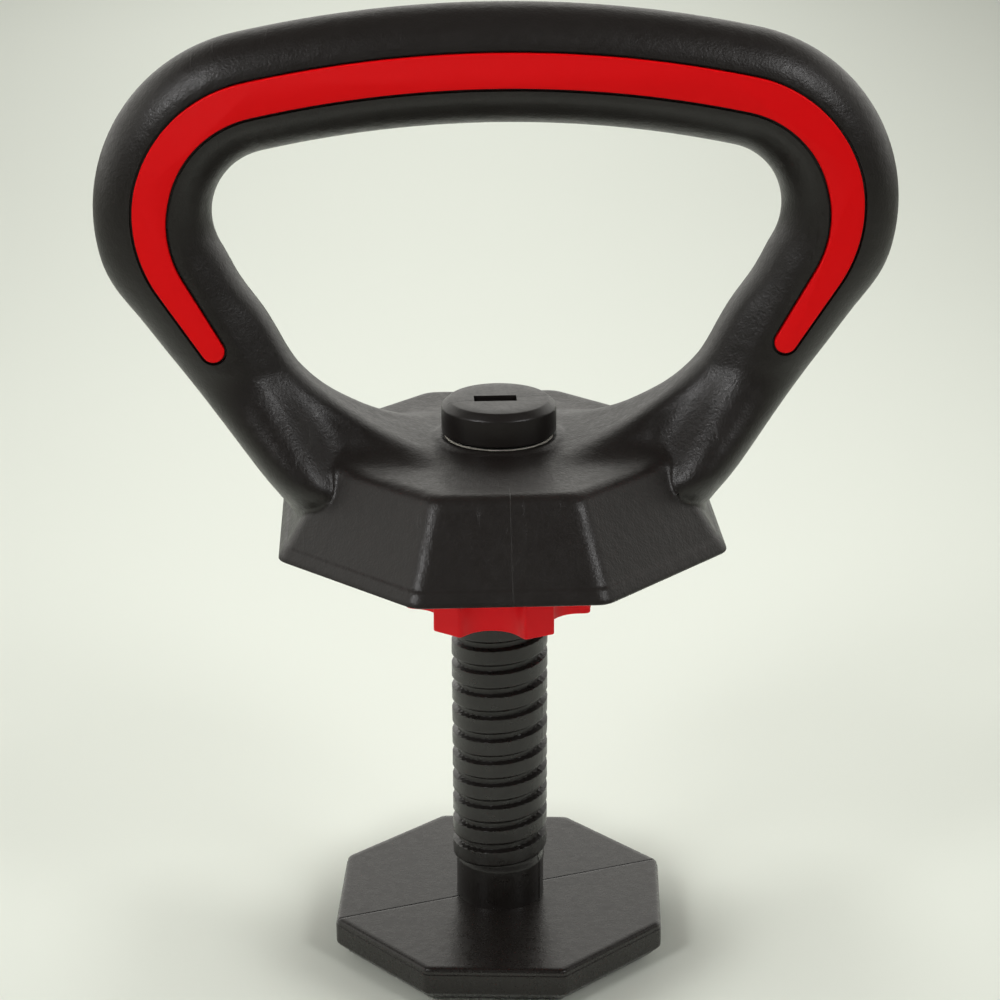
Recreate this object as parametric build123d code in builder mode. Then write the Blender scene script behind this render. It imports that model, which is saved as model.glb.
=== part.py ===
"""Adjustable kettlebell handle: grip and flange on a threaded post, clamping nut and foot plate.

Millimetres, +Z up, +X along the grip. The origin is on the floor, on the axis of the post.
"""
import math
import os

from build123d import *

os.makedirs("parts", exist_ok=True)

# ---------------------------------------------------------------- driving dimensions
# foot plate
base_top = 12.0
base_flats = 96.2
base_edge_height = 7.7
base_bevel = 3.3
base_top_round = 0.8
base_twist = -4.5            # the post and its plate stand turned in the handle
pad_flats = 82.0
pad_thickness = 2.5
pad_proud = 1.0
pad_groove_radius = 33.0
pad_groove_width = 2.0
pad_groove_depth = 0.7

# threaded post
crest_radius = 14.0
root_radius = 13.0
thread_pitch = 7.2
thread_turns = 14
thread_start = 12.1          # middle of the ridge above the foot plate, on the +X side
thread_crest_width = 4.2
thread_upper_flank = 0.5
thread_lower_flank = 1.6
shoulder_height = 118.0      # above the foot plate
journal_radius = 10.0
journal_top = 146.0
key_flats = 20.0
key_depth = 1.5

# tie rod and its washer
rod_radius = 5.0
rod_top = 152.0
rod_hole_radius = 5.2
head_flats = 16.0
head_height = 3.2
washer_thickness = 1.2
washer_radius = 10.0

# handle flange, heights above the foot plate
flange_bottom = 118.1
flange_top = 143.7
flange_bottom_flats = 125.4
flange_top_flats = 93.6
flange_edge_round = 2.5
flange_wall = 4.2
dome_radius = 42.0
boss_foot = 145.0
boss_top = 145.8
boss_radius = 17.8
hub_radius = 17.0
hub_bottom = 119.6
rib_thickness = 3.0
rib_bottom = 127.0
rib_count = 8

# grip, heights above the foot plate
grip_height = 251.0          # middle of the section at the centre
grip_bow_radius = 318.0
grip_half_width = 16.1
grip_half_depth = 14.0
shoulder_radius = 34.0
shoulder_x = 60.3
leg_angle = 31.0             # from upright
top_sections = 3             # loft sections between the middle of the grip and a shoulder
shoulder_sections = 7

# leg sections, shoulder to flange: outer x, outer z, inner x, inner z, half depth
leg_sections = [
    (94.8, 174.6, 69.6, 189.6, 13.8),
    (87.8, 165.8, 64.4, 179.6, 13.6),
    (78.8, 155.2, 57.8, 168.0, 14.2),
    (71.8, 145.9, 50.4, 160.2, 16.5),
    (66.6, 138.0, 42.5, 154.9, 20.0),
    (62.6, 131.4, 33.0, 150.5, 23.0),
    (59.6, 125.5, 22.0, 146.6, 25.0),
    (57.0, 120.0, 18.0, 140.0, 25.5),
]

# inlays
inlay_half_width = 4.7
inlay_end_half_width = 3.2
inlay_leg_length = 21.0      # how far the band runs down the straight leg
inlay_front = 13.5
inlay_thickness = 2.3
inlay_gap = 0.15
inlay_points = 12            # points on each edge from the middle to an end

# bushes
bush_bore_radius = 10.05
bush_radius = 13.0
bush_flange_radius = 16.0
bush_flange = 1.5
bush_length = 11.0

# star nut
nut_bottom = 93.0
nut_height = 22.0
nut_lobe_radius = 27.0
nut_scallop_radius = 19.5    # nearest the axis
nut_lobe_width = 10.0
nut_lobes = 6
nut_first_lobe = -127.2
nut_edge_round = 0.8
thread_clearance = 0.3
ring_inner_radius = 14.4
ring_outer_radius = 18.3
ring_thickness = 3.0
ring_gap = 0.2

# retaining cap
cap_radius = 16.25
cap_bottom = 146.8
cap_shoulder = 154.2
cap_top = 156.0
cap_top_radius = 14.1
slot_length = 12.0
slot_width = 5.0
slot_depth = 2.1
slot_offset = -1.0
insert_flats = 15.0
insert_height = 5.5
insert_bore_radius = 5.06
cap_washer_thickness = 0.8
cap_washer_radius = 15.2


# ---------------------------------------------------------------- helpers
def octagon_radius(flats):
    """Corner radius of an octagon from its width across flats."""
    return flats / 2 / math.cos(math.pi / 8)


def hex_radius(flats):
    """Corner radius of a hexagon from its width across flats."""
    return flats / 2 / math.cos(math.pi / 6)


def level(height):
    """Horizontal plane at a height above the top of the foot plate."""
    return Plane.XY.offset(base_top + height)


def ridge_points(gap=0.0):
    """Corners of the thread ridge as (radius, height) from the middle of its crest, grown by gap."""
    inner = root_radius - 0.4 + gap
    outer = crest_radius + gap
    low, high = -thread_crest_width / 2 - gap, thread_crest_width / 2 + gap
    return [(inner, low - thread_lower_flank), (outer, low), (outer, high), (inner, high + thread_upper_flank)]


def thread_ridge(start, turns, gap=0.0):
    """Solid of the helical ridge, beginning on the +X side with its middle at the given height."""
    with BuildPart() as ridge:
        with BuildLine():
            Helix(thread_pitch, thread_pitch * turns, crest_radius, center=(0, 0, start))
        with BuildSketch(Plane.XZ):
            with BuildLine():
                corners = [(r, start + z) for r, z in ridge_points(gap)]
                Polyline(*corners, close=True)
            make_face()
        sweep(is_frenet=True)
    return ridge.part


# ---------------------------------------------------------------- foot plate
with BuildPart() as base_plate:
    plate_bottom = pad_proud
    with BuildSketch(Plane.XY.offset(plate_bottom)):
        RegularPolygon(octagon_radius(base_flats), 8, rotation=22.5 + base_twist)
    extrude(amount=base_top - plate_bottom)
    bevel_edges = base_plate.edges().group_by(Axis.Z)[0]
    chamfer(bevel_edges, length=base_bevel)
    fillet(base_plate.edges().group_by(Axis.Z)[-1], radius=base_top_round)
    with BuildSketch(Plane.XY.offset(plate_bottom)):
        RegularPolygon(octagon_radius(pad_flats + 0.6), 8, rotation=22.5 + base_twist)
    extrude(amount=pad_thickness - pad_proud, mode=Mode.SUBTRACT)
    with BuildSketch(Plane.XY.offset(pad_thickness)):
        Circle(washer_radius + 1)
    extrude(amount=head_height + washer_thickness + 0.1, mode=Mode.SUBTRACT)
    with BuildSketch(Plane.XY):
        Circle(rod_hole_radius)
    extrude(amount=base_top, mode=Mode.SUBTRACT)
    with BuildSketch(Plane.XY.offset(base_top - key_depth)):
        RegularPolygon(hex_radius(key_flats) + 0.1, 6, rotation=base_twist)
    extrude(amount=key_depth, mode=Mode.SUBTRACT)

with BuildPart() as foot_pad:
    with BuildSketch():
        RegularPolygon(octagon_radius(pad_flats), 8, rotation=22.5 + base_twist)
    extrude(amount=pad_thickness)
    chamfer(foot_pad.edges().group_by(Axis.Z)[0], length=0.6)
    with BuildSketch():
        Circle(pad_groove_radius + pad_groove_width / 2)
        Circle(pad_groove_radius - pad_groove_width / 2, mode=Mode.SUBTRACT)
    extrude(amount=pad_groove_depth, mode=Mode.SUBTRACT)

# ---------------------------------------------------------------- threaded post
with BuildPart() as threaded_post:
    with BuildSketch(level(0)):
        Circle(root_radius)
    extrude(amount=shoulder_height)
    add(thread_ridge(base_top + thread_start, thread_turns))
    with BuildSketch(level(-key_depth)):
        RegularPolygon(hex_radius(key_flats), 6, rotation=base_twist)
    extrude(amount=key_depth)
    with BuildSketch(level(shoulder_height)):
        Circle(journal_radius)
    extrude(amount=journal_top - shoulder_height)
    chamfer(threaded_post.edges().group_by(Axis.Z)[-1], length=0.8)
    with BuildSketch(level(-key_depth)):
        Circle(rod_hole_radius)
    extrude(amount=journal_top + key_depth, mode=Mode.SUBTRACT)

# ---------------------------------------------------------------- tie rod
with BuildPart() as tie_rod:
    with BuildSketch(Plane.XY.offset(pad_thickness + 0.1)):
        RegularPolygon(hex_radius(head_flats), 6)
    extrude(amount=head_height)
    with BuildSketch(Plane.XY.offset(pad_thickness + 0.1 + head_height)):
        Circle(rod_radius)
    extrude(amount=base_top + rod_top - pad_thickness - head_height - 0.1)
    chamfer(tie_rod.edges().group_by(Axis.Z)[-1], length=0.8)

with BuildPart() as tie_rod_washer:
    with BuildSketch(Plane.XY.offset(pad_thickness + 0.1 + head_height)):
        Circle(washer_radius)
        Circle(rod_radius + 0.1, mode=Mode.SUBTRACT)
    extrude(amount=washer_thickness)

# ---------------------------------------------------------------- star nut and its ring
def star_outline():
    """Closed outline of the nut: lobes with straight ends, joined by round hollows."""
    half_angle = math.degrees(math.asin(nut_lobe_width / 2 / nut_lobe_radius))
    with BuildLine() as outline:
        for lobe in range(nut_lobes):
            middle = nut_first_lobe + lobe * 360 / nut_lobes
            following = middle + 360 / nut_lobes
            first = Vector(nut_lobe_radius, 0).rotate(Axis.Z, middle - half_angle)
            last = Vector(nut_lobe_radius, 0).rotate(Axis.Z, middle + half_angle)
            hollow = Vector(nut_scallop_radius, 0).rotate(Axis.Z, (middle + following) / 2)
            beyond = Vector(nut_lobe_radius, 0).rotate(Axis.Z, following - half_angle)
            Line(first, last)
            ThreePointArc(last, hollow, beyond)
    return outline.line


with BuildPart() as star_nut:
    with BuildSketch(level(nut_bottom)):
        add(star_outline())
        make_face()
    extrude(amount=nut_height)
    fillet(star_nut.faces().sort_by(Axis.Z)[-1].edges(), radius=nut_edge_round)
    with BuildSketch(level(nut_bottom)):
        Circle(root_radius + thread_clearance)
    extrude(amount=nut_height, mode=Mode.SUBTRACT)
    with BuildSketch(level(nut_bottom)):
        Circle(ring_outer_radius + ring_gap)
    extrude(amount=ring_thickness + ring_gap, mode=Mode.SUBTRACT)
    turns_below = int((nut_bottom - thread_start) / thread_pitch)
    groove_start = base_top + thread_start + turns_below * thread_pitch
    groove_turns = math.ceil(nut_height / thread_pitch) + 1
    add(thread_ridge(groove_start, groove_turns, thread_clearance), mode=Mode.SUBTRACT)

with BuildPart() as nut_ring:
    with BuildSketch(level(nut_bottom)):
        Circle(ring_outer_radius)
        Circle(ring_inner_radius, mode=Mode.SUBTRACT)
    extrude(amount=ring_thickness)
    fillet(nut_ring.edges().group_by(Axis.Z)[0], radius=0.5)


# ---------------------------------------------------------------- handle shell
bow_centre_z = grip_height - grip_bow_radius
shoulder_z = bow_centre_z + math.sqrt((grip_bow_radius - shoulder_radius) ** 2 - shoulder_x ** 2)
bow_end = math.degrees(math.asin(shoulder_x / (grip_bow_radius - shoulder_radius)))
bow_length = grip_bow_radius * math.radians(bow_end)
shoulder_length = shoulder_radius * math.radians(90 + leg_angle - bow_end)


def grip_point(distance):
    """Middle of the grip and its outward direction, at a distance along it from the centre."""
    if distance < bow_length:
        turn = distance / grip_bow_radius
        centre, reach = (0, bow_centre_z), grip_bow_radius
    elif distance < bow_length + shoulder_length:
        turn = math.radians(bow_end) + (distance - bow_length) / shoulder_radius
        centre, reach = (shoulder_x, shoulder_z), shoulder_radius
    else:
        turn = math.radians(90 + leg_angle)
        centre, reach = (shoulder_x, shoulder_z), shoulder_radius
    outward = (math.sin(turn), math.cos(turn))
    along = (math.cos(turn), -math.sin(turn))
    straight = max(0, distance - bow_length - shoulder_length)
    x = centre[0] + reach * outward[0] + straight * along[0]
    z = centre[1] + reach * outward[1] + straight * along[1]
    return (x, z), outward


def section(outer, inner, half_depth):
    """Elliptical section between an outer and an inner point of the right-hand side, as (x, z)."""
    centre = Vector((outer[0] + inner[0]) / 2, 0, base_top + (outer[1] + inner[1]) / 2)
    across = Vector(outer[0] - inner[0], 0, outer[1] - inner[1])
    plane = Plane(origin=centre, x_dir=across.normalized(), z_dir=across.cross(Vector(0, 1, 0)).normalized())
    return plane, across.length / 2, half_depth


def grip_sections():
    """Sections of the whole grip, from the right foot over the top to the left foot."""
    half = []
    for outer_x, outer_z, inner_x, inner_z, half_depth in reversed(leg_sections):
        half.append(((outer_x, outer_z), (inner_x, inner_z), half_depth))
    stations = [bow_length + shoulder_length * (1 - step / shoulder_sections) for step in range(shoulder_sections)]
    stations += [bow_length * (1 - step / top_sections) for step in range(top_sections + 1)]
    for distance in stations:
        (x, z), (outward_x, outward_z) = grip_point(distance)
        outer = (x + grip_half_width * outward_x, z + grip_half_width * outward_z)
        inner = (x - grip_half_width * outward_x, z - grip_half_width * outward_z)
        half.append((outer, inner, grip_half_depth))
    other_half = [((-outer[0], outer[1]), (-inner[0], inner[1]), depth) for outer, inner, depth in half[-2::-1]]
    return [section(*entry) for entry in half + other_half]


with BuildPart() as handle_shell:
    # octagonal flange
    with BuildSketch(level(flange_bottom)):
        RegularPolygon(octagon_radius(flange_bottom_flats), 8, rotation=22.5)
    with BuildSketch(level(flange_top)):
        RegularPolygon(octagon_radius(flange_top_flats), 8, rotation=22.5)
    loft(ruled=True)
    corner_edges = handle_shell.edges().filter_by(lambda edge: abs(edge.tangent_at(0.5).Z) > 0.5)
    fillet(corner_edges, radius=flange_edge_round)
    fillet(handle_shell.edges().group_by(Axis.Z)[-1], radius=flange_edge_round)
    # grip and legs
    for plane, half_width, half_depth in grip_sections():
        with BuildSketch(plane):
            Ellipse(half_width, half_depth)
    loft()

    # shallow dome and boss under the cap
    with BuildSketch(Plane.XZ):
        with BuildLine():
            Polyline(
                (0, base_top + flange_top - 1),
                (dome_radius, base_top + flange_top - 1),
                (dome_radius, base_top + flange_top),
                (boss_radius + 1, base_top + boss_foot),
                (boss_radius, base_top + boss_foot + 0.2),
                (boss_radius - 0.4, base_top + boss_top),
                (0, base_top + boss_top),
                close=True,
            )
        make_face()
    revolve(axis=Axis.Z)
    # hollow underside
    cavity_top = flange_top - flange_wall
    wall_slope = (flange_bottom_flats - flange_top_flats) / (flange_top - flange_bottom)
    cavity_top_flats = flange_top_flats + flange_wall * wall_slope - 2 * flange_wall
    with BuildSketch(level(flange_bottom)):
        RegularPolygon(octagon_radius(flange_bottom_flats - 2 * flange_wall), 8, rotation=22.5)
    with BuildSketch(level(cavity_top)):
        RegularPolygon(octagon_radius(cavity_top_flats), 8, rotation=22.5)
    loft(ruled=True, mode=Mode.SUBTRACT)
    # hub and ribs
    with BuildSketch(level(hub_bottom)):
        Circle(hub_radius)
    extrude(amount=cavity_top + 1 - hub_bottom)
    wall_at_rib = (flange_bottom_flats - (rib_bottom - flange_bottom) * wall_slope) / 2 - flange_wall
    for rib in range(rib_count):
        turn = math.radians(rib * 360 / rib_count)
        across = Vector(math.cos(turn), math.sin(turn), 0)
        with BuildSketch(Plane(origin=(0, 0, base_top), x_dir=across, z_dir=across.cross(Vector(0, 0, 1)))):
            with BuildLine():
                Polyline(
                    (hub_radius - 2, rib_bottom),
                    (wall_at_rib + 1, rib_bottom),
                    (cavity_top_flats / 2 + 1, cavity_top),
                    (cavity_top_flats / 2, cavity_top + 1),
                    (hub_radius - 2, cavity_top + 1),
                    close=True,
                )
            make_face()
        extrude(amount=rib_thickness / 2, both=True)
    # bores for the bushes
    with BuildSketch(level(hub_bottom)):
        Circle(bush_radius)
    extrude(amount=boss_top - hub_bottom, mode=Mode.SUBTRACT)
    with BuildSketch(level(boss_top - bush_flange)):
        Circle(bush_flange_radius - 0.6)
    extrude(amount=bush_flange, mode=Mode.SUBTRACT)


# ---------------------------------------------------------------- inlays
def inlay_outline(gap=0.0):
    """Closed outline of the band in the grip's plane, grown by gap."""
    total = bow_length + shoulder_length + inlay_leg_length
    fade_from = bow_length + shoulder_length
    outer, inner = [], []
    for step in range(-inlay_points, inlay_points + 1):
        distance = abs(step) / inlay_points * total
        (x, z), (outward_x, outward_z) = grip_point(distance)
        fade = max(0, distance - fade_from) / inlay_leg_length
        half_width = inlay_half_width + gap + fade * (inlay_end_half_width - inlay_half_width)
        side = -1 if step < 0 else 1
        outer.append((side * (x + half_width * outward_x), base_top + z + half_width * outward_z))
        inner.append((side * (x - half_width * outward_x), base_top + z - half_width * outward_z))
    (x, z), (outward_x, outward_z) = grip_point(total + inlay_end_half_width + gap)
    with BuildLine() as outline:
        Spline(*outer)
        ThreePointArc(outer[-1], (x, base_top + z), inner[-1])
        Spline(*inner)
        ThreePointArc(inner[0], (-x, base_top + z), outer[0])
    return outline.line


with BuildPart() as front_inlay:
    with BuildSketch(Plane.XZ.offset(inlay_front - inlay_thickness)):
        add(inlay_outline())
        make_face()
    extrude(amount=inlay_thickness)

rear_inlay = mirror(front_inlay.part, about=Plane.XZ)

with BuildPart() as inlay_pocket:
    with BuildSketch(Plane.XZ.offset(inlay_front - inlay_thickness)):
        add(inlay_outline(inlay_gap))
        make_face()
    extrude(amount=inlay_thickness + grip_half_depth)

with handle_shell:
    add(inlay_pocket.part, mode=Mode.SUBTRACT)
    add(mirror(inlay_pocket.part, about=Plane.XZ), mode=Mode.SUBTRACT)


# ---------------------------------------------------------------- bushes in the hub
def bush(flange_height, sleeve_height, flange_radius):
    """Flanged sleeve running on the post's journal."""
    with BuildPart() as sleeve:
        with BuildSketch(level(flange_height)):
            Circle(flange_radius)
            Circle(bush_bore_radius, mode=Mode.SUBTRACT)
        extrude(amount=bush_flange)
        with BuildSketch(level(sleeve_height)):
            Circle(bush_radius)
            Circle(bush_bore_radius, mode=Mode.SUBTRACT)
        extrude(amount=bush_length)
    return sleeve.part


lower_bush = bush(hub_bottom - bush_flange, hub_bottom, bush_flange_radius)
upper_bush = bush(boss_top - bush_flange, boss_top - bush_flange - bush_length, bush_flange_radius - 0.6)

# ---------------------------------------------------------------- retaining cap
with BuildPart() as cap:
    with BuildSketch(level(cap_bottom)):
        Circle(cap_radius)
    extrude(amount=cap_shoulder - cap_bottom)
    with BuildSketch(level(cap_shoulder)):
        Circle(cap_radius)
    with BuildSketch(level(cap_top)):
        Circle(cap_top_radius)
    loft()
    with BuildSketch(level(cap_bottom)):
        RegularPolygon(hex_radius(insert_flats), 6)
    extrude(amount=insert_height, mode=Mode.SUBTRACT)
    with BuildSketch(level(cap_top - slot_depth)):
        with Locations((slot_offset, 0)):
            Rectangle(slot_length, slot_width)
    extrude(amount=slot_depth, mode=Mode.SUBTRACT)

with BuildPart() as cap_insert:
    with BuildSketch(level(cap_bottom)):
        RegularPolygon(hex_radius(insert_flats), 6)
        Circle(insert_bore_radius, mode=Mode.SUBTRACT)
    extrude(amount=insert_height)

with BuildPart() as cap_washer:
    with BuildSketch(level(cap_bottom - cap_washer_thickness)):
        Circle(cap_washer_radius)
        Circle(rod_radius + 0.2, mode=Mode.SUBTRACT)
    extrude(amount=cap_washer_thickness)

# ---------------------------------------------------------------- export
pieces = {
    "base_plate": base_plate.part,
    "foot_pad": foot_pad.part,
    "threaded_post": threaded_post.part,
    "tie_rod": tie_rod.part,
    "tie_rod_washer": tie_rod_washer.part,
    "star_nut": star_nut.part,
    "nut_ring": nut_ring.part,
    "handle_shell": handle_shell.part,
    "front_inlay": front_inlay.part,
    "rear_inlay": rear_inlay,
    "lower_bush": lower_bush,
    "upper_bush": upper_bush,
    "cap": cap.part,
    "cap_insert": cap_insert.part,
    "cap_washer": cap_washer.part,
}
for name, piece in pieces.items():
    piece.label = name
    export_step(piece, f"parts/{name}.step")
    print(name, len(piece.solids()), piece.is_valid, round(piece.volume))
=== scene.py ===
"""Adjustable kettlebell handle: moulded shell, red inlays, threaded post, star nut, cap and foot plate.

Shapes are worked out in millimetres, with heights above the top of the foot plate, and become metres
in the row frame when an object is made. The shell is the zero level of a distance field, so its legs
flow into the octagonal flange; the other pieces are rings of points joined up.
"""

import math

import bmesh
import bpy
import numpy as np
from mathutils import Matrix, Vector


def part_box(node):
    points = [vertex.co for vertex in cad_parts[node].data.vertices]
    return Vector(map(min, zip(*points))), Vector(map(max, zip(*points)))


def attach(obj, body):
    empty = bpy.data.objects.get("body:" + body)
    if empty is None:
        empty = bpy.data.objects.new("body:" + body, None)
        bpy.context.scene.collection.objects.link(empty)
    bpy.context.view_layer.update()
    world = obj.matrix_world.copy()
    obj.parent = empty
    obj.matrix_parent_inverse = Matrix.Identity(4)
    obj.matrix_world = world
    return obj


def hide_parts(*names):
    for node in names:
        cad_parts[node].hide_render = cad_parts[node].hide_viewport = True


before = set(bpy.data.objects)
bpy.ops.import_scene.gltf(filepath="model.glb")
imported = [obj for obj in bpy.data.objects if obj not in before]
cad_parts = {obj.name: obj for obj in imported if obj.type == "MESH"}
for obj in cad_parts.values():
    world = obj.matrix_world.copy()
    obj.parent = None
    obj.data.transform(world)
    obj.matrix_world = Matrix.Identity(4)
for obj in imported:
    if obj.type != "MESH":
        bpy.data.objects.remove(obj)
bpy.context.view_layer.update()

MM = 0.001
base_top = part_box("base_plate")[1][2] / MM
twist = math.radians(-4.5)          # the post and the foot plate stand turned in the handle

# grip
bow_radius = 318.0
grip_height = 251.0
grip_half_width = 16.1
shoulder_radius = 34.0
shoulder_x = 60.3
leg_turn = math.radians(90 + 31)
grip_outer_depth = 14.0             # half the depth of its section, outside and inside the bow
grip_inner_depth = 14.6
panel_depth = 13.3                  # flat panel on the front and back of the grip
bow_z = grip_height - bow_radius
shoulder_z = bow_z + math.sqrt((bow_radius - shoulder_radius) ** 2 - shoulder_x**2)
bow_end = math.asin(shoulder_x / (bow_radius - shoulder_radius))
bow_length = bow_radius * bow_end
shoulder_length = shoulder_radius * (leg_turn - bow_end)

# lower leg
leg_blend = (180, 203)              # between these heights it passes into the grip
leg_outer_point = (62.0, 130.5)     # on its outer line, as (x, z)
leg_outer_slope = 0.7265            # sideways for each millimetre up
leg_inner_point = (60.1, 171.0)
leg_inner_slope = 0.466
leg_half_widths = (15.2, 17.5)
leg_widening = 168.0                # it widens below this height
leg_foot = 119.5
web_top = 174.0
web_inner = 23.0                    # nearest the axis
panel_foot = 176.0                  # the flat panel fades out below it

# flange
flange_bottom = 118.1
flange_top = 143.7
flange_bottom_half = 62.7
flange_top_half = 46.8
flange_slope = (flange_bottom_half - flange_top_half) / (flange_top - flange_bottom)
flange_wall = 4.2
boss_radius = 17.8
boss_top = 145.8
lip_height = 4.0                    # a fine step runs round the flange at this height
lip_step = 0.45
hub_radius = 17.0
hub_bottom = 119.6
rib_half_thickness = 1.5
rib_bottom = 127.0
bush_hole_radius = 13.02
collar_hole_radius = 15.45
collar_hole_bottom = 144.3

# inlay
inlay_half_width = 4.7
inlay_end_half_width = 3.1
inlay_leg_length = 21.0
inlay_front = 13.5
inlay_depth = 2.3
inlay_gap = 0.75

# post
crest_radius = 14.0
root_radius = 13.0
thread_pitch = 7.2
thread_start = 12.1
thread_turns = 14
shoulder_height = 118.0
journal_radius = 10.0
journal_top = 146.0
rod_hole_radius = 5.2
groove_depth = 0.6                  # the thread's root lies that much under the smooth neck
neck_height = 12.0
neck_fade = 2.5
key_radius = 11.0
key_bottom = -1.4
parting_turns = (-26.5, 153.5)      # degrees
parting_proud = 0.22
parting_width = 0.28

# cap
cap_bottom = 146.8
cap_shoulder = 154.2
cap_top = 156.0
cap_radius = 16.25
insert_radius = 8.67
insert_height = 5.5
slot_depth = 2.1
slot_half_width = 2.5
slot_ends = (-7, 5)


# ---------------------------------------------------------------- small helpers
def fade(value, start, end):
    """0 at start, 1 at end, smooth between."""
    t = np.clip((value - start) / (end - start), 0, 1)
    return t * t * (3 - 2 * t)


def smooth_max(a, b, k):
    """Larger of two fields, rounded over a width k."""
    h = np.maximum(k - np.abs(a - b), 0) / k
    return np.maximum(a, b) + h * h * k / 4


def smooth_min(a, b, k):
    """Smaller of two fields, rounded over a width k."""
    return -smooth_max(-a, -b, k)


def make_object(name, points, faces, material, body):
    """Mesh object from points in millimetres above the foot plate; it rides on a body."""
    mesh = bpy.data.meshes.new(name)
    placed = (np.asarray(points, float) + (0, 0, base_top)) * MM
    mesh.from_pydata(placed.tolist(), [], [tuple(face) for face in faces])
    mesh.validate()
    for polygon in mesh.polygons:
        polygon.use_smooth = True
    piece = bpy.data.objects.new(name, mesh)
    bpy.context.scene.collection.objects.link(piece)
    piece.data.materials.append(material)
    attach(piece, body)
    return piece


def face_outwards(piece):
    """Turns all faces of the piece outwards and gives the piece back."""
    form = bmesh.new()
    form.from_mesh(piece.data)
    bmesh.ops.recalc_face_normals(form, faces=form.faces)
    form.to_mesh(piece.data)
    form.free()
    return piece


def apply_modifiers(piece):
    """Replaces the mesh by its modified form."""
    graph = bpy.context.evaluated_depsgraph_get()
    made = bpy.data.meshes.new_from_object(piece.evaluated_get(graph))
    piece.modifiers.clear()
    piece.data = made


def cut(piece, cutter):
    """Takes the cutter's volume away from the piece."""
    step = piece.modifiers.new("cut", "BOOLEAN")
    step.operation = "DIFFERENCE"
    step.solver = "EXACT"
    step.object = cutter
    apply_modifiers(piece)
    bpy.data.objects.remove(cutter)


def bevel(piece, width, segments=3, angle=40):
    """Rounds the edges that are sharper than the angle."""
    step = piece.modifiers.new("round", "BEVEL")
    step.width = width * MM
    step.segments = segments
    step.limit_method = "ANGLE"
    step.angle_limit = math.radians(angle)
    step.harden_normals = False
    apply_modifiers(piece)


def ring_faces(rings, size, closed=False):
    """Quads between successive rings of equal size; closed joins the last ring to the first."""
    faces = []
    last = rings if closed else rings - 1
    for ring in range(last):
        lower, upper = ring * size, ((ring + 1) % rings) * size
        for step in range(size):
            following = (step + 1) % size
            faces.append((lower + step, lower + following, upper + following, upper + step))
    return faces


# ---------------------------------------------------------------- surface of a field
def surface_of(field, low, high, step):
    """Points and quads of a field's zero level: one point in each cell it passes through."""
    axes = [np.arange(a, b + step, step) for a, b in zip(low, high)]
    grid = field(*np.meshgrid(*axes, indexing="ij", sparse=True))
    inside = grid < 0
    shape = np.array(grid.shape) - 1
    corners = [(i, j, k) for i in (0, 1) for j in (0, 1) for k in (0, 1)]
    count = np.zeros(shape, np.int8)
    for i, j, k in corners:
        count += inside[i : i + shape[0], j : j + shape[1], k : k + shape[2]]
    cells = np.argwhere((count > 0) & (count < 8))
    number = np.full(shape, -1, np.int64)
    number[tuple(cells.T)] = np.arange(len(cells))
    total = np.zeros((len(cells), 3))
    hits = np.zeros(len(cells))
    for start in corners:
        for axis in range(3):
            if start[axis]:
                continue
            end = list(start)
            end[axis] = 1
            here = grid[tuple((cells + start).T)]
            there = grid[tuple((cells + end).T)]
            crosses = (here < 0) != (there < 0)
            part = np.where(crosses, here / np.where(crosses, here - there, 1), 0)
            point = np.tile(np.array(start, float), (len(cells), 1))
            point[:, axis] += part
            total[crosses] += point[crosses]
            hits += crosses
    points = np.array(low) + (cells + total / hits[:, None]) * step
    faces = []
    for axis in range(3):
        first, second = (axis + 1) % 3, (axis + 2) % 3
        before = np.take(inside, range(inside.shape[axis] - 1), axis)
        after = np.take(inside, range(1, inside.shape[axis]), axis)
        edges = np.argwhere(before != after)
        entering = after[tuple(edges.T)]
        offsets = ((-1, -1), (0, -1), (0, 0), (-1, 0))
        around = []
        for a, b in offsets:
            cell = edges.copy()
            cell[:, first] += a
            cell[:, second] += b
            around.append(number[tuple(cell.T)])
        quads = np.stack(around, 1)
        quads[entering] = quads[entering][:, ::-1]
        faces.append(quads)
    return settle(field, points, step), np.concatenate(faces)


def settle(field, points, step):
    """Moves points onto the zero level."""
    reach = 0.02
    for _ in range(4):
        value = field(*points.T)
        slope = np.zeros_like(points)
        for axis in range(3):
            ahead, behind = points.copy(), points.copy()
            ahead[:, axis] += reach
            behind[:, axis] -= reach
            slope[:, axis] = (field(*ahead.T) - field(*behind.T)) / (2 * reach)
        size = np.maximum((slope**2).sum(1), 0.1)
        move = -(value / size)[:, None] * slope
        length = np.linalg.norm(move, axis=1, keepdims=True)
        points = points + move * np.minimum(1, 0.5 * step / np.maximum(length, 1e-9))
    return points


# ---------------------------------------------------------------- handle shell
def oval(across, depth, half_width, half_depth):
    """Rough distance from an ellipse."""
    reach = np.sqrt((across / half_width) ** 2 + (depth / half_depth) ** 2)
    slope = np.sqrt((across / half_width**2) ** 2 + (depth / half_depth**2) ** 2)
    return reach * (reach - 1) / np.maximum(slope, 1e-6)


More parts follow.
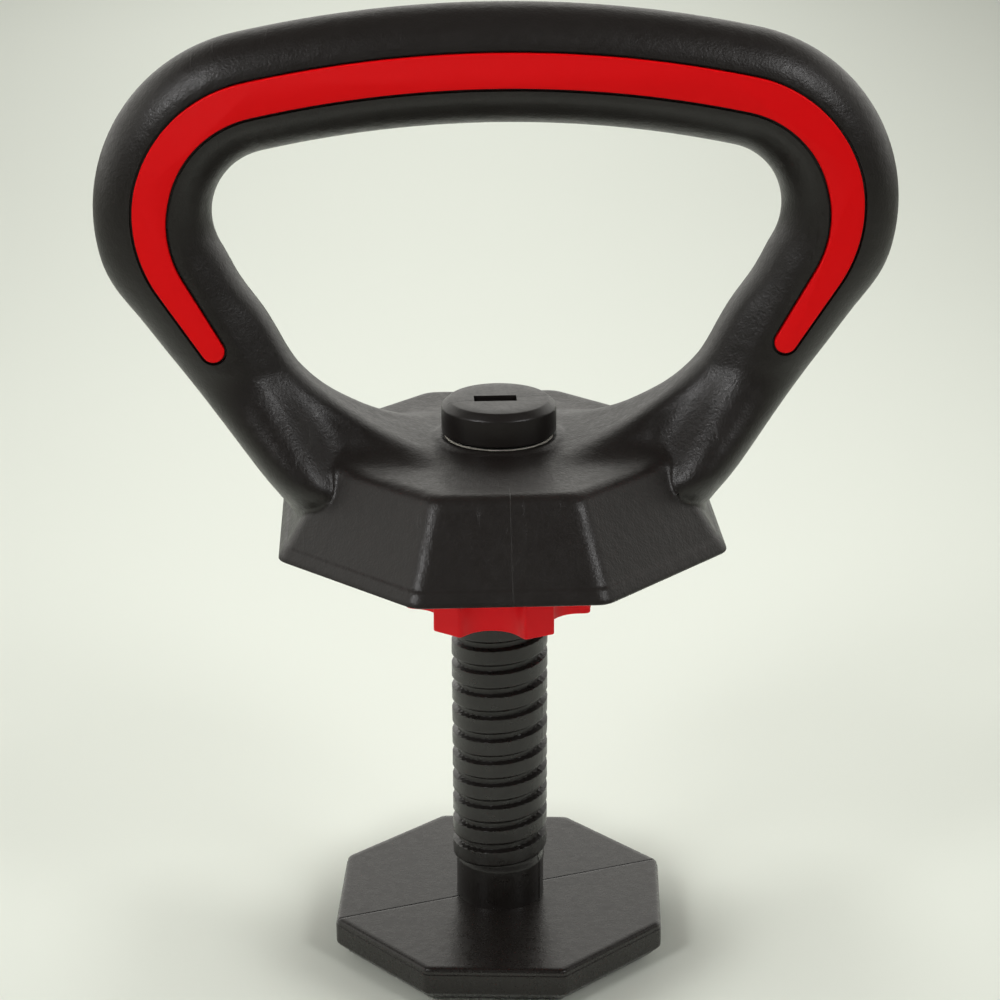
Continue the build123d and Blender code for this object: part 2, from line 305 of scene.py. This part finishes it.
def grip_field(x, y, z):
    """Bow, shoulders and upper legs, as an oval carried along arcs and a straight."""
    bow_reach = np.hypot(x, z - bow_z)
    bow_turn = np.arctan2(x, z - bow_z)
    out_x, out_z = math.sin(leg_turn), math.cos(leg_turn)
    side_x, side_z = x - shoulder_x, z - shoulder_z
    shoulder_turn = np.arctan2(side_x, side_z)
    outward = side_x * out_x + side_z * out_z
    down_leg = side_x * out_z - side_z * out_x
    far = 60.0
    across = np.full(np.broadcast(x, z).shape, far)
    on_shoulder = (shoulder_turn >= bow_end) & (shoulder_turn <= leg_turn)
    on_leg = (down_leg > 0) & (outward > 0)
    across = np.where(on_shoulder, np.hypot(side_x, side_z) - shoulder_radius, across)
    across = np.where(on_leg, outward - shoulder_radius, across)
    across = np.where(bow_turn < bow_end, bow_reach - bow_radius, across)
    half_width = grip_half_width - 1.6 * fade(np.where(on_leg, down_leg, 0), 0, 16)
    half_depth = np.where(across < 0, grip_inner_depth, grip_outer_depth)
    return oval(across, y, half_width, half_depth)


def leg_field(x, y, z):
    """Lower leg: a level oval that widens downwards, and a web that flares inwards to the flange."""
    line = leg_outer_point[0] + leg_outer_slope * (z - leg_outer_point[1])
    arc_rise = np.clip(z - shoulder_z, -45.0, 45.0)
    arc = shoulder_x + np.sqrt((shoulder_radius + grip_half_width) ** 2 - arc_rise**2)
    outer = line + (smooth_min(line, arc, 4.0) - line) * fade(z, 172, 186)
    above = z - leg_inner_point[1]
    straight_inner = leg_inner_point[0] + leg_inner_slope * above + 0.0045 * np.maximum(above, 0) ** 2
    half_width = np.clip((outer - straight_inner) / 2, *leg_half_widths)
    low = np.maximum(leg_widening - z, 0)
    half_depth = 13.9 + 13.4 * fade(low, 0, 34) - 3.2 * fade(z, 141, 128)
    tube = 0.85 * oval(x - (outer - half_width), y, half_width, half_depth)
    drop = np.maximum(web_top - z, 0)
    inner = smooth_max(straight_inner - drop**2 / 33.0, web_inner, 6.0)
    web_depth = 7.0 + 0.018 * np.minimum(low, 26.0) ** 2
    web = smooth_max(0.8 * (inner - x), y - web_depth, 6.0)
    web = np.maximum(web, x - (outer - half_width))
    return smooth_min(tube, web, 5.0)


def octagon_reach(x, y):
    """Distance from the axis to an octagon's side through the point, its corners rounded."""
    return smooth_max(np.maximum(x, y), (x + y) / math.sqrt(2), 1.9)


def flange_field(x, y, z):
    """Octagonal frustum with a lip line, a low dome and the boss under the cap."""
    from_axis = np.hypot(x, y)
    half = flange_top_half + (flange_top - z) * flange_slope
    lip = fade(z, flange_bottom + lip_height + 0.2, flange_bottom + lip_height - 0.2)
    half = half + lip_step * lip - 0.2
    side = (octagon_reach(x, y) - half) / math.hypot(1, flange_slope)
    dome = z - flange_top - 1.3 * fade(from_axis, 40, 18)
    body = smooth_max(smooth_max(side, dome, 2.6), flange_bottom - z, 1.4)
    boss = smooth_max(from_axis - boss_radius, z - boss_top, 1.0)
    boss = np.maximum(boss, flange_top - 4 - z)
    return smooth_min(body, boss, 1.2)


def hollow_field(x, y, z):
    """Hollow underside of the flange, less its hub and ribs, and the bore for the bushes."""
    from_axis = np.hypot(x, y)
    half = flange_top_half + (flange_top - z) * flange_slope - flange_wall
    side = (np.maximum(np.maximum(x, y), (x + y) / math.sqrt(2)) - half) / math.hypot(1, flange_slope)
    cavity = smooth_max(side, z - (flange_top - flange_wall), 2.0)
    hub = smooth_max(from_axis - hub_radius, hub_bottom - z, 0.8)
    rib = np.minimum(np.minimum(x, y), np.abs(x - y) / math.sqrt(2)) - rib_half_thickness
    rib = smooth_max(rib, rib_bottom - z, 1.0)
    cavity = smooth_max(cavity, -smooth_min(hub, rib, 1.5), 1.5)
    collar = np.maximum(from_axis - collar_hole_radius, collar_hole_bottom - z)
    bore = smooth_min(from_axis - bush_hole_radius, collar, 0.1)
    return np.minimum(cavity, np.maximum(bore, z - boss_top - 5))


def shell_field(x, y, z):
    """The whole handle moulding; it is the same in all four quarters."""
    x, y = np.abs(x), np.abs(y)
    upper = fade(z, *leg_blend)
    leg = np.where(upper < 1, leg_field(x, y, z), 0) * (1 - upper)
    leg = leg + np.where(upper > 0, grip_field(x, y, z), 0) * upper
    panel = y - panel_depth - 0.02 * np.maximum(panel_foot - z, 0) ** 2
    leg = smooth_max(leg, panel, 0.9)
    leg = np.maximum(leg, leg_foot - z)
    soft = 0.9 + 8.0 * fade(x, 50, 36) * fade(z, 139, 144)
    body = smooth_min(leg, flange_field(x, y, z), soft)
    return smooth_max(body, -hollow_field(x, y, z), 0.6)


# ---------------------------------------------------------------- inlays
def grip_point(distance):
    """Middle of the grip and its outward direction, at a distance along it from the centre."""
    if distance < bow_length:
        turn, centre, reach = distance / bow_radius, (0, bow_z), bow_radius
    elif distance < bow_length + shoulder_length:
        turn = bow_end + (distance - bow_length) / shoulder_radius
        centre, reach = (shoulder_x, shoulder_z), shoulder_radius
    else:
        turn, centre, reach = leg_turn, (shoulder_x, shoulder_z), shoulder_radius
    straight = max(0, distance - bow_length - shoulder_length)
    outward = (math.sin(turn), math.cos(turn))
    x = centre[0] + reach * outward[0] + straight * outward[1]
    z = centre[1] + reach * outward[1] - straight * outward[0]
    return (x, z), outward


def inlay_outline(gap=0.0):
    """Closed outline of the band in the grip's plane, as (x, z), grown by gap."""
    stations, end_steps = 110, 16
    total = bow_length + shoulder_length + inlay_leg_length
    fade_from = bow_length + 0.6 * shoulder_length
    outer, inner = [], []
    for step in range(stations + 1):
        distance = total * step / stations
        (x, z), out = grip_point(distance)
        narrowing = max(0, distance - fade_from) / (total - fade_from)
        width = inlay_half_width + gap + narrowing * (inlay_end_half_width - inlay_half_width)
        outer.append((x + width * out[0], z + width * out[1]))
        inner.append((x - width * out[0], z - width * out[1]))
    tip = []
    (x, z), out = grip_point(total)
    for step in range(1, end_steps):
        turn = math.pi * step / end_steps
        width = inlay_end_half_width + gap
        across, along = width * math.cos(turn), width * math.sin(turn)
        tip.append((x + across * out[0] + along * out[1], z + across * out[1] - along * out[0]))
    right = outer + tip + inner[::-1]
    left = [(-x, z) for x, z in right[::-1]]
    return right[1:-1] + [inner[0]] + left[1:-1] + [outer[0]]


def prism(name, outline, near, far, material, body):
    """Solid between two depths with an outline in the grip's plane."""
    size = len(outline)
    points = [(x, near, z) for x, z in outline] + [(x, far, z) for x, z in outline]
    faces = [tuple(range(size)), tuple(reversed(range(size, 2 * size)))]
    for step in range(size):
        following = (step + 1) % size
        faces.append((step, size + step, size + following, following))
    piece = make_object(name, points, faces, material, body)
    return face_outwards(piece)


# ---------------------------------------------------------------- turned pieces
def turned(name, rings, material, body, closed=True):
    """Solid from rings of points; each ring is a list of (x, y, z). Open ends are closed by a face."""
    size = len(rings[0])
    points = [point for ring in rings for point in ring]
    faces = ring_faces(len(rings), size, closed)
    if not closed:
        faces.append(tuple(reversed(range(size))))
        faces.append(tuple(range((len(rings) - 1) * size, len(rings) * size)))
    piece = make_object(name, points, faces, material, body)
    return face_outwards(piece)


def circle(radius, height, size):
    """Ring of points about the axis; radius may be a number or one value for each point."""
    turns = np.linspace(0, 2 * math.pi, size, endpoint=False)
    radii = np.broadcast_to(radius, turns.shape)
    heights = np.broadcast_to(height, turns.shape)
    return list(zip(radii * np.cos(turns), radii * np.sin(turns), heights))


def rounded(reach, low, high, bottom_round, top_round, steps=5):
    """(inset, height) pairs up an outer wall with a rounded bottom and top edge."""
    pairs = []
    for step in range(steps + 1):
        turn = math.pi / 2 * step / steps
        pairs.append((bottom_round * (1 - math.sin(turn)), low + bottom_round * (1 - math.cos(turn))))
    for step in range(steps + 1):
        turn = math.pi / 2 * step / steps
        pairs.append((top_round * (1 - math.cos(turn)), high - top_round * (1 - math.sin(turn))))
    return [(reach - inset, height) for inset, height in pairs]


# ---------------------------------------------------------------- threaded post
def thread_height(turn, height, gap=0.0, endless=False):
    """How far the ridge stands out, 0 to 1, at a turn about the axis and a height.

    gap widens it, and endless leaves out the run-out at its two ends.
    """
    climb = height - thread_start - thread_pitch * turn / (2 * math.pi)
    lap = np.round(climb / thread_pitch)
    from_crest = climb - lap * thread_pitch
    along = turn + 2 * math.pi * lap
    last = 2 * math.pi * thread_turns
    begun = fade(along, -0.05, 0.35) * (1 - fade(along, last - 0.35, last + 0.05))
    upper = 1 - fade(from_crest, 2.0 + gap, 2.5 + gap)
    lower = fade(from_crest, -3.3 - gap, -2.1 - gap)
    return upper * lower * (1 if endless else begun)


def post_rings():
    """Rings up the outside of the post and down its bore."""
    size = 288
    turns = np.linspace(0, 2 * math.pi, size, endpoint=False)
    rings = [circle(rod_hole_radius, key_bottom, size), circle(key_radius, key_bottom, size)]
    rings.append(circle(key_radius, 0.0, size))
    thread_low, thread_high, step = 7.6, 114.4, 0.2
    heights = [0.05, 0.4, 2, 4, 6]
    heights += list(np.arange(thread_low, thread_high, step))
    heights += [shoulder_height - 0.5, shoulder_height]
    for height in heights:
        spread = 0.12 * math.exp(-height / 0.25)
        past_neck = fade(height, neck_height, neck_height + neck_fade)
        groove = groove_depth * past_neck * fade(height, thread_high + 1, thread_high - 3)
        ridge = thread_height(turns, height)
        wear = 0.025 * np.sin(3 * turns + height * 0.7) * ridge
        root = root_radius - groove
        radius = root + spread + (crest_radius - root) * ridge + wear
        for parting in parting_turns:
            offset = np.angle(np.exp(1j * (turns - math.radians(parting) - twist / 2)))
            radius = radius + parting_proud * np.exp(-((offset * crest_radius / parting_width) ** 2))
        rings.append(circle(np.minimum(radius, crest_radius + 0.03), height, size))
    rings.append(circle(journal_radius, shoulder_height, size))
    rings.append(circle(journal_radius, journal_top - 0.8, size))
    rings.append(circle(journal_radius - 0.8, journal_top, size))
    rings.append(circle(rod_hole_radius, journal_top, size))
    return rings


# ---------------------------------------------------------------- star nut
nut_bottom = 93.0
nut_height = 22.0
nut_reach = 27.0
nut_hollow = 19.5
nut_lobe_width = 10.0
nut_lobes = 6
nut_first_lobe = math.radians(-127.2)


def star_radius(turns):
    """Radius of the nut's outline: straight lobe ends joined by round hollows, corners softened."""
    fine = np.linspace(0, 2 * math.pi, 2880, endpoint=False)
    part = 2 * math.pi / nut_lobes
    half_lobe = math.asin(nut_lobe_width / 2 / nut_reach)
    from_lobe = (fine - nut_first_lobe + part / 2) % part - part / 2
    flat = nut_reach * math.cos(half_lobe) / np.cos(from_lobe)
    from_hollow = part / 2 - np.abs(from_lobe)
    corner_angle = part / 2 - half_lobe
    corner = np.array([nut_reach * math.cos(corner_angle), nut_reach * math.sin(corner_angle)])
    gap = corner[0] - nut_hollow
    scoop = (gap**2 + corner[1] ** 2) / (2 * gap)
    centre = nut_hollow + scoop
    scooped = centre * np.cos(from_hollow) - np.sqrt(
        np.maximum(scoop**2 - (centre * np.sin(from_hollow)) ** 2, 0)
    )
    radius = np.where(np.abs(from_lobe) < half_lobe, flat, scooped)
    for _ in range(3):
        radius = (np.roll(radius, 5) + radius + np.roll(radius, -5)) / 3
    return np.interp(turns, fine, radius, period=2 * math.pi)


def nut_rings():
    """Rings round the section of the nut: ring seat, outside wall, top, threaded bore."""
    size = 576
    turns = np.linspace(0, 2 * math.pi, size, endpoint=False)
    reach = star_radius(turns)
    top = nut_bottom + nut_height
    seat_radius, seat_top = 18.5, nut_bottom + 3.2
    mouth_radius, collar, bore_top_radius, bore_radius = 14.3, 17.2, 14.9, 13.35
    rings = [circle(mouth_radius, seat_top, size), circle(seat_radius, seat_top, size)]
    rings.append(circle(seat_radius, nut_bottom + 0.05, size))
    for offset, height in rounded(0, nut_bottom, top, 0.5, 1.6):
        rings.append(circle(reach + offset, height, size))
    rings.append(circle(np.maximum(reach - 3.2, collar + 1.2), top, size))
    rings.append(circle(collar + 1.0, top - 0.05, size))
    rings.append(circle(collar, top - 0.5, size))
    rings.append(circle(bore_top_radius, top - 0.5, size))
    for height in np.arange(top - 0.7, seat_top + 0.2, -0.4):
        groove = thread_height(turns, height, 0.3, endless=True)
        rings.append(circle(bore_radius + groove, height, size))
    return rings


# ---------------------------------------------------------------- foot plate
def octagon_radius(turns, half, softness):
    """Radius of an octagon of that half width across flats, its corners rounded."""
    part = math.pi / 4
    near = (turns - twist + part / 2) % part - part / 2
    beside = part - np.abs(near)
    first, second = half / np.cos(near), half / np.cos(beside)
    return -smooth_max(-first, -second, softness)


def plate_rings():
    """Rings round the section of the foot plate."""
    size = 720
    turns = np.linspace(0, 2 * math.pi, size, endpoint=False)
    half, bottom, bevel_top = 48.1, 1.0 - base_top, -7.7
    pad_half, pad_seat = 41.3, 2.5 - base_top
    key_hole_radius = 11.5
    profile = [(pad_half, pad_seat), (pad_half, bottom), (half - 3.5, bottom)]
    profile += [(half - 3.0, bottom + 0.15), (half - 0.5, bevel_top - 0.5), (half - 0.1, bevel_top)]
    profile += [(half, bevel_top + 0.5), (half, -1.9), (half - 0.28, -1.7), (half - 0.3, -1.25)]
    profile += [(half - 0.4, -0.6), (half - 0.75, -0.2), (half - 1.2, 0.0)]
    profile += [(half - 2.5, 0.0), (30.0, 0.0)]
    rings = [circle(key_hole_radius, pad_seat, size)]
    rings += [circle(octagon_radius(turns, reach, 0.9), height, size) for reach, height in profile]
    rings.append(circle(key_hole_radius, 0.0, size))
    return rings


# ---------------------------------------------------------------- cap
def cap_rings():
    """Rings from the insert's hole round and up the cap's wall to its top."""
    size = 256
    wall = [(16.0, cap_bottom), (16.22, cap_bottom + 0.25), (cap_radius, cap_bottom + 1.0)]
    wall += [(cap_radius, cap_shoulder - 0.35), (16.15, cap_shoulder), (15.9, cap_shoulder + 0.3)]
    wall += [(14.5, cap_top - 0.32), (14.2, cap_top - 0.1), (13.8, cap_top)]
    rings = [circle(insert_radius, cap_bottom + insert_height, size), circle(insert_radius, cap_bottom, size)]
    rings += [circle(radius, height, size) for radius, height in wall]
    rings += [circle(radius, cap_top, size) for radius in (10.0, 5.0, 0.4)]
    return rings


# ---------------------------------------------------------------- materials
class Look:
    """Node material of a moulded, rubber or metal surface."""

    def __init__(self, name, colour, roughness, metallic=0.0, specular=0.5):
        self.material = bpy.data.materials.new(name)
        self.material.use_nodes = True
        self.tree = self.material.node_tree
        self.shader = self.tree.nodes["Principled BSDF"]
        self.shader.inputs["Metallic"].default_value = metallic
        self.shader.inputs["Specular IOR Level"].default_value = specular
        self.place = self.add("ShaderNodeTexCoord").outputs["Object"]
        self.colour = colour
        self.roughness = roughness
        self.normal = None

    def add(self, kind, **settings):
        node = self.tree.nodes.new(kind)
        for name, value in settings.items():
            setattr(node, name, value)
        return node

    def link(self, output, socket):
        self.tree.links.new(output, socket)

    def noise(self, scale, detail=2.0, stretch=None):
        node = self.add("ShaderNodeTexNoise")
        node.inputs["Scale"].default_value = scale
        node.inputs["Detail"].default_value = detail
        place = self.place
        if stretch:
            mapping = self.add("ShaderNodeMapping")
            mapping.inputs["Scale"].default_value = stretch
            self.link(place, mapping.inputs["Vector"])
            place = mapping.outputs["Vector"]
        self.link(place, node.inputs["Vector"])
        return node.outputs["Fac"]

    def spread(self, value, low, high, from_low=0.35, from_high=0.65):
        node = self.add("ShaderNodeMapRange")
        node.inputs["From Min"].default_value = from_low
        node.inputs["From Max"].default_value = from_high
        node.inputs["To Min"].default_value = low
        node.inputs["To Max"].default_value = high
        self.link(value, node.inputs["Value"])
        return node.outputs["Result"]

    def math(self, operation, *values):
        node = self.add("ShaderNodeMath", operation=operation)
        for index, value in enumerate(values):
            if isinstance(value, (int, float)):
                node.inputs[index].default_value = value
            else:
                self.link(value, node.inputs[index])
        return node.outputs[0]

    def axis(self, name):
        node = self.add("ShaderNodeSeparateXYZ")
        self.link(self.place, node.inputs[0])
        return node.outputs[name]

    def tint(self, mask, other):
        """Mixes another colour in where the mask is 1."""
        node = self.add("ShaderNodeMix", data_type="RGBA")
        self.link(mask, node.inputs["Factor"])
        if isinstance(self.colour, tuple):
            node.inputs["A"].default_value = (*self.colour, 1)
        else:
            self.link(self.colour, node.inputs["A"])
        node.inputs["B"].default_value = (*other, 1)
        self.colour = node.outputs["Result"]

    def across(self, turn):
        """Distance from a line through the axis, at a turn from the X axis."""
        along_x = self.math("MULTIPLY", self.axis("X"), -math.sin(turn))
        return self.math("ADD", along_x, self.math("MULTIPLY", self.axis("Y"), math.cos(turn)))

    def above(self, height):
        """1 above a height in millimetres over the foot plate, else 0."""
        return self.math("GREATER_THAN", self.axis("Z"), (base_top + height) * MM)

    def bump(self, height, depth):
        """Adds relief; depth in millimetres for a height of 1."""
        node = self.add("ShaderNodeBump")
        node.inputs["Strength"].default_value = 1.0
        node.inputs["Distance"].default_value = depth * MM
        self.link(height, node.inputs["Height"])
        if self.normal:
            self.link(self.normal, node.inputs["Normal"])
        self.normal = node.outputs["Normal"]

    def done(self):
        colour_socket = self.shader.inputs["Base Color"]
        if isinstance(self.colour, tuple):
            colour_socket.default_value = (*self.colour, 1)
        else:
            self.link(self.colour, colour_socket)
        if isinstance(self.roughness, float):
            self.shader.inputs["Roughness"].default_value = self.roughness
        else:
            self.link(self.roughness, self.shader.inputs["Roughness"])
        if self.normal:
            self.link(self.normal, self.shader.inputs["Normal"])
        return self.material


def moulded(name, colour, lighter, roughness, grain, depth, specular=0.5):
    """Plastic with fine grain, faint mottling and uneven gloss; grain in grains per millimetre."""
    look = Look(name, colour, roughness, specular=specular)
    look.tint(look.spread(look.noise(60, 6), 0.2, 0.5), lighter)
    uneven = look.spread(look.noise(240, 6), roughness - 0.02, roughness + 0.03)
    look.roughness = look.math("ADD", uneven, look.spread(look.noise(grain / MM * 0.6, 1), -0.03, 0.03))
    look.bump(look.noise(grain / MM, 2), depth)
    look.bump(look.noise(grain / MM * 0.22, 3), depth * 1.6)
    return look


def seam(look, distance, width, depth, mask=None):
    """Parting line where a distance in metres is near 0: raised, or sunk where the depth is negative."""
    line = look.spread(look.math("ABSOLUTE", distance), 1.0, 0.0, 0.0, width * MM)
    if mask is not None:
        line = look.math("MULTIPLY", line, mask)
    look.bump(line, depth)
    return line


def shell_look():
    look = moulded("shell_black", (0.0092, 0.0074, 0.0064), (0.0132, 0.0108, 0.0096), 0.38, 1.5, 0.085)
    x, y = look.axis("X"), look.axis("Y")
    front = look.math("LESS_THAN", y, -0.04)
    seam(look, look.math("SUBTRACT", x, 0.0008), 0.16, 0.12, front)
    scuffs = look.spread(look.noise(70, 6, (9.0, 1.0, 1.2)), 0.0, 1.0, 0.66, 0.72)
    look.bump(scuffs, 0.03)
    return look.done()


def cap_look():
    look = moulded("cap_black", (0.0105, 0.0085, 0.0076), (0.0150, 0.0125, 0.0112), 0.35, 2.0, 0.025)
    seam(look, look.across(math.radians(11)), 0.2, 0.1, look.above(155.5))
    return look.done()


def plate_look():
    look = moulded("plate_black", (0.0130, 0.0108, 0.0096), (0.0180, 0.0152, 0.0137), 0.28, 1.6, 0.032)
    line = seam(look, look.across(math.radians(22.5) + twist), 0.5, -0.45, look.above(-0.5))
    # the sunk seam is also darkened in colour: painted shade in its groove
    look.tint(line, (0.003, 0.003, 0.003))
    return look.done()


def post_look():
    look = moulded("post_black", (0.0090, 0.0074, 0.0066), (0.0130, 0.0108, 0.0098), 0.28, 1.3, 0.04, 0.55)
    smear = look.spread(look.noise(160, 4, (1.0, 1.0, 3.0)), 0.0, 1.0)
    look.roughness = look.math("ADD", look.roughness, look.math("MULTIPLY", smear, 0.1))
    return look.done()


def red_look(name, colour, darker, roughness, grain):
    look = moulded(name, colour, darker, roughness, grain, 0.012, 0.14)
    return look.done()


def rubber_look(name):
    return moulded(name, (0.014, 0.0135, 0.013), (0.022, 0.021, 0.02), 0.72, 1.6, 0.05, 0.35).done()


def metal_look(name, colour, roughness, across):
    """Metal with fine tool marks; across stretches them."""
    look = Look(name, colour, roughness, metallic=1.0)
    marks = look.noise(900, 3, across)
    look.roughness = look.spread(marks, roughness - 0.08, roughness + 0.1)
    look.tint(look.spread(look.noise(80, 4), 0.0, 0.5), tuple(part * 0.75 for part in colour))
    look.bump(marks, 0.006)
    return look.done()


def nylon_look():
    return moulded("bush_nylon", (0.66, 0.63, 0.55), (0.58, 0.55, 0.47), 0.42, 1.2, 0.01).done()


# ---------------------------------------------------------------- camera and light
def make_camera():
    """Camera in front of the object, a little above the grip, looking down at it."""
    pitch, heading, roll = math.radians(20.40), math.radians(2.752), math.radians(-0.161)
    away, height, focal = 686.2, 380.6, 2.5623
    side = math.radians(2.73)
    data = bpy.data.cameras.new("camera")
    data.sensor_width = 36.0
    data.lens = data.sensor_width * focal
    data.clip_start = 0.05
    camera = bpy.data.objects.new("camera", data)
    bpy.context.scene.collection.objects.link(camera)
    camera.location = (
        -away * math.sin(side) * MM,
        -away * math.cos(side) * MM,
        (base_top + height) * MM,
    )
    forward = Vector(
        (math.sin(heading) * math.cos(pitch), math.cos(heading) * math.cos(pitch), -math.sin(pitch))
    )
    level_right = Vector((math.cos(heading), -math.sin(heading), 0))
    level_up = level_right.cross(forward)
    right = math.cos(roll) * level_right + math.sin(roll) * level_up
    up = right.cross(forward)
    turn = Matrix((right, up, -forward)).transposed()
    camera.rotation_mode = "QUATERNION"
    camera.rotation_quaternion = turn.to_quaternion()
    bpy.context.scene.camera = camera


def softbox(name, place, aim, size, power, spread=180, mirrored=False):
    """Rectangular area light aimed at a point.

    spread narrows its beam. Gloss shows it only where mirrored is True.
    """
    data = bpy.data.lights.new(name, "AREA")
    data.shape = "RECTANGLE"
    data.size, data.size_y = size
    data.energy = power
    data.spread = math.radians(spread)
    light = bpy.data.objects.new(name, data)
    bpy.context.scene.collection.objects.link(light)
    light.location = place
    light.rotation_mode = "QUATERNION"
    light.rotation_quaternion = (Vector(aim) - Vector(place)).to_track_quat("-Z", "Y")
    light.visible_glossy = mirrored


def make_world():
    """Room whose low walls are bright behind and beside the object, dim in front and overhead."""
    world = bpy.data.worlds.new("studio")
    world.use_nodes = True
    tree = world.node_tree
    background = tree.nodes["Background"]
    split = tree.nodes.new("ShaderNodeSeparateXYZ")
    tree.links.new(tree.nodes.new("ShaderNodeTexCoord").outputs["Generated"], split.inputs[0])

    def ramp(value, start, end):
        node = tree.nodes.new("ShaderNodeMapRange")
        node.interpolation_type = "SMOOTHSTEP"
        node.inputs["From Min"].default_value = start
        node.inputs["From Max"].default_value = end
        tree.links.new(value, node.inputs["Value"])
        return node.outputs["Result"]

    def combine(operation, first, second):
        node = tree.nodes.new("ShaderNodeMath")
        node.operation = operation
        for socket, value in zip(node.inputs, (first, second)):
            if isinstance(value, (int, float)):
                socket.default_value = value
            else:
                tree.links.new(value, socket)
        return node.outputs[0]

    towards = combine("SUBTRACT", split.outputs["Y"], combine("MULTIPLY", split.outputs["X"], 0.13))
    wall = combine("MULTIPLY", ramp(towards, -0.45, 0.45), ramp(split.outputs["Z"], 0.80, 0.50))
    strength = combine("ADD", combine("MULTIPLY", wall, wall_light), room_light)
    background.inputs["Color"].default_value = (1.0, 0.985, 0.93, 1)
    tree.links.new(strength, background.inputs["Strength"])
    bpy.context.scene.world = world


def make_floor():
    """Plain pale floor."""
    form = bmesh.new()
    bmesh.ops.create_circle(form, cap_ends=True, segments=96, radius=6.0)
    mesh = bpy.data.meshes.new("floor")
    form.to_mesh(mesh)
    form.free()
    floor = bpy.data.objects.new("floor", mesh)
    bpy.context.scene.collection.objects.link(floor)
    look = Look("floor_paint", (0.77, 0.80, 0.72), 0.9, specular=0.1)
    look.tint(look.spread(look.noise(6, 3), 0.0, 0.12), (0.75, 0.78, 0.70))
    mesh.materials.append(look.done())


wall_light = 1.15
room_light = 0.08
make_camera()
make_world()
make_floor()
softbox("floor_light", (0.0, 1.0, 2.0), (0.0, 1.0, 0.0), (0.3, 2.5), 5.0, spread=50)
softbox("front_fill", (-0.3, -1.6, 0.42), (0.0, 0.0, 0.17), (0.6, 0.3), 0.20, spread=26)
edge_aim, edge_size = (0.0, 0.0, 0.14), (0.30, 0.45)
softbox("left_edge_light", (-0.90, -0.75, 1.08), edge_aim, edge_size, 0.45, spread=50, mirrored=True)
softbox("right_edge_light", (0.90, -0.75, 1.08), edge_aim, edge_size, 0.36, spread=50, mirrored=True)
bpy.context.scene.view_settings.view_transform = "Standard"

# ---------------------------------------------------------------- the handle
shell_black = shell_look()
inlay_red = red_look("inlay_red", (0.78, 0.0015, 0.0035), (0.74, 0.0012, 0.003), 0.45, 2.0)
nut_red = red_look("nut_red", (0.82, 0.010, 0.016), (0.76, 0.008, 0.013), 0.36, 1.6)

cell = 0.8
points, quads = surface_of(shell_field, (-113.0, -65.0, 115.0), (113.0, 65.0, 269.0), cell)
shell = make_object("handle_moulding", points, quads, shell_black, "handle")
outline = inlay_outline()
pocket_outline, pocket_far = inlay_outline(inlay_gap), 20.0
for name, side in (("front_band", -1), ("rear_band", 1)):
    pocket_near = side * (inlay_front - inlay_depth)
    cut(shell, prism("pocket", pocket_outline, pocket_near, side * pocket_far, shell_black, "handle"))
    near, far = side * (inlay_front - inlay_depth + 0.02), side * inlay_front
    band = prism(name, outline, near, far, inlay_red, "handle")
    bevel(band, 0.35)
    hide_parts("front_inlay" if side < 0 else "rear_inlay")
shell.data.set_sharp_from_angle(angle=math.radians(40))
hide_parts("handle_shell")

# ---------------------------------------------------------------- foot, post, nut and cap
post = turned("post_moulding", post_rings(), post_look(), "foot")
post.data.set_sharp_from_angle(angle=math.radians(50))
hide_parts("threaded_post")

plate = turned("foot_plate", plate_rings(), plate_look(), "foot")
plate.data.set_sharp_from_angle(angle=math.radians(35))
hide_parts("base_plate")

nut = turned("clamping_nut", nut_rings(), nut_red, "clamp_nut")
nut.data.set_sharp_from_angle(angle=math.radians(50))
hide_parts("star_nut")

cap_black = cap_look()
cap = turned("slotted_cap", cap_rings(), cap_black, "retainer_cap", closed=False)
slot_left, slot_right = slot_ends
slot_corners = [(slot_left, -slot_half_width), (slot_right, -slot_half_width)]
slot_corners += [(slot_right, slot_half_width), (slot_left, slot_half_width)]
slot_points = [(x, y, z) for z in (cap_top - slot_depth, cap_top + 1) for x, y in slot_corners]
slot_faces = [(3, 2, 1, 0), (4, 5, 6, 7), (0, 1, 5, 4), (1, 2, 6, 5), (2, 3, 7, 6), (3, 0, 4, 7)]
cut(cap, make_object("slot_cutter", slot_points, slot_faces, cap_black, "retainer_cap"))
cap.data.set_sharp_from_angle(angle=math.radians(35))
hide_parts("cap")

# ---------------------------------------------------------------- CAD pieces that stay as they are
steel = metal_look("zinc_steel", (0.60, 0.61, 0.62), 0.32, (1.0, 1.0, 6.0))
looks = {
    "foot_pad": rubber_look("pad_rubber"),
    "nut_ring": rubber_look("ring_rubber"),
    "tie_rod": steel,
    "tie_rod_washer": steel,
    # the washer's near-black colour is painted shade: it darkens the gap under the cap
    "cap_washer": metal_look("washer_steel_painted_shade", (0.05, 0.05, 0.05), 0.45, (1.0, 1.0, 6.0)),
    "cap_insert": metal_look("turned_brass", (0.80, 0.58, 0.26), 0.28, (1.0, 1.0, 8.0)),
    "lower_bush": nylon_look(),
    "upper_bush": nylon_look(),
}
for node, material in looks.items():
    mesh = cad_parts[node].data
    mesh.materials.clear()
    mesh.materials.append(material)
